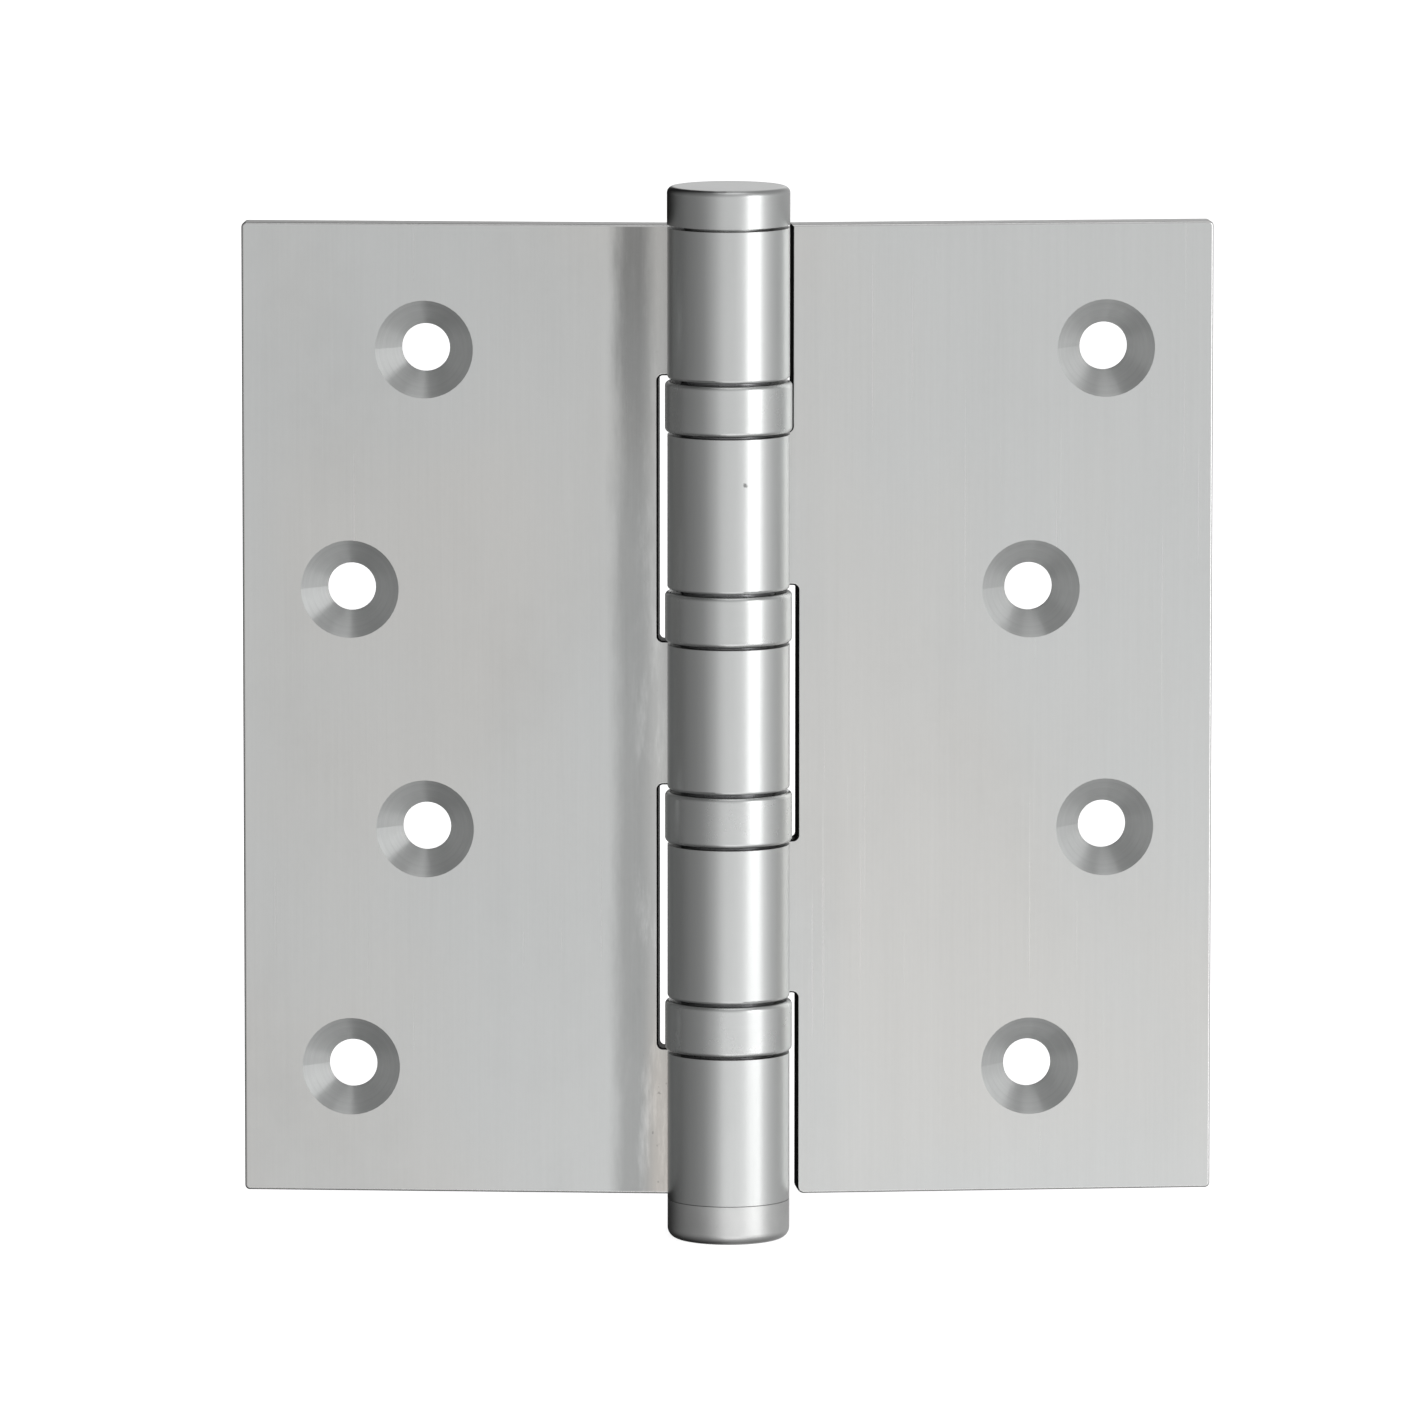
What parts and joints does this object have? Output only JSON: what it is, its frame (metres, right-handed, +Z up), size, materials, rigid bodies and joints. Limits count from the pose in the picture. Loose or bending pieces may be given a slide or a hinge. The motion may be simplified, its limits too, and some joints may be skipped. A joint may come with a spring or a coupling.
{
  "type": "door hinge",
  "caption": "Flat butt hinge with square leaves and countersunk screw holes, turning on a button-headed pin with ball bearings between the knuckles.",
  "frame": {"origin": "on the pin's axis, at the leaves' mid height", "axes": "+Z up along the pin toward its head, +X from the pin toward the door leaf, +Y out of the back of the jamb leaf, so the countersunk faces look toward -Y"},
  "size_m": [0.1006, 0.0194, 0.11],
  "materials": {
    "satin_stainless": "satin, brushed along the pin's direction",
    "turned_stainless": "satin, turned",
    "bearing_steel": "ground and polished",
    "cage_brass": "plain machined brass"
  },
  "bodies": {
    "jamb_side": {"jamb_leaf": "satin_stainless", "hinge_pin": "turned_stainless", "bottom_tip": "turned_stainless", "bearing_1_upper_race": "bearing_steel", "bearing_2_lower_race": "bearing_steel", "bearing_2_shell": "turned_stainless", "bearing_3_upper_race": "bearing_steel", "bearing_4_lower_race": "bearing_steel", "bearing_4_shell": "turned_stainless"},
    "door_side": {"door_leaf": "satin_stainless", "bearing_1_lower_race": "bearing_steel", "bearing_1_shell": "turned_stainless", "bearing_2_upper_race": "bearing_steel", "bearing_3_lower_race": "bearing_steel", "bearing_3_shell": "turned_stainless", "bearing_4_upper_race": "bearing_steel"},
    "bearing_1_ball_set": {"bearing_1_cage": "cage_brass", "bearing_1_balls": "bearing_steel"},
    "bearing_2_ball_set": {"bearing_2_cage": "cage_brass", "bearing_2_balls": "bearing_steel"},
    "bearing_3_ball_set": {"bearing_3_cage": "cage_brass", "bearing_3_balls": "bearing_steel"},
    "bearing_4_ball_set": {"bearing_4_cage": "cage_brass", "bearing_4_balls": "bearing_steel"}
  },
  "joints": [
    {"name": "door_swing", "type": "hinge", "parent": "jamb_side", "child": "door_side", "pos_m": [0, 0, 0], "axis": [0, 0, 1], "range_deg": [-189, 81]},
    {"name": "bearing_1_roll", "type": "hinge", "parent": "jamb_side", "child": "bearing_1_ball_set", "pos_m": [0, 0, 0], "axis": [0, 0, 1], "range_deg": [-94.5, 40.5]},
    {"name": "bearing_2_roll", "type": "hinge", "parent": "jamb_side", "child": "bearing_2_ball_set", "pos_m": [0, 0, 0], "axis": [0, 0, 1], "range_deg": [-94.5, 40.5]},
    {"name": "bearing_3_roll", "type": "hinge", "parent": "jamb_side", "child": "bearing_3_ball_set", "pos_m": [0, 0, 0], "axis": [0, 0, 1], "range_deg": [-94.5, 40.5]},
    {"name": "bearing_4_roll", "type": "hinge", "parent": "jamb_side", "child": "bearing_4_ball_set", "pos_m": [0, 0, 0], "axis": [0, 0, 1], "range_deg": [-94.5, 40.5]}
  ],
  "couplings": [
    {"joint": "bearing_1_roll", "follows": "door_swing", "ratio": 0.5},
    {"joint": "bearing_2_roll", "follows": "door_swing", "ratio": 0.5},
    {"joint": "bearing_3_roll", "follows": "door_swing", "ratio": 0.5},
    {"joint": "bearing_4_roll", "follows": "door_swing", "ratio": 0.5}
  ]
}
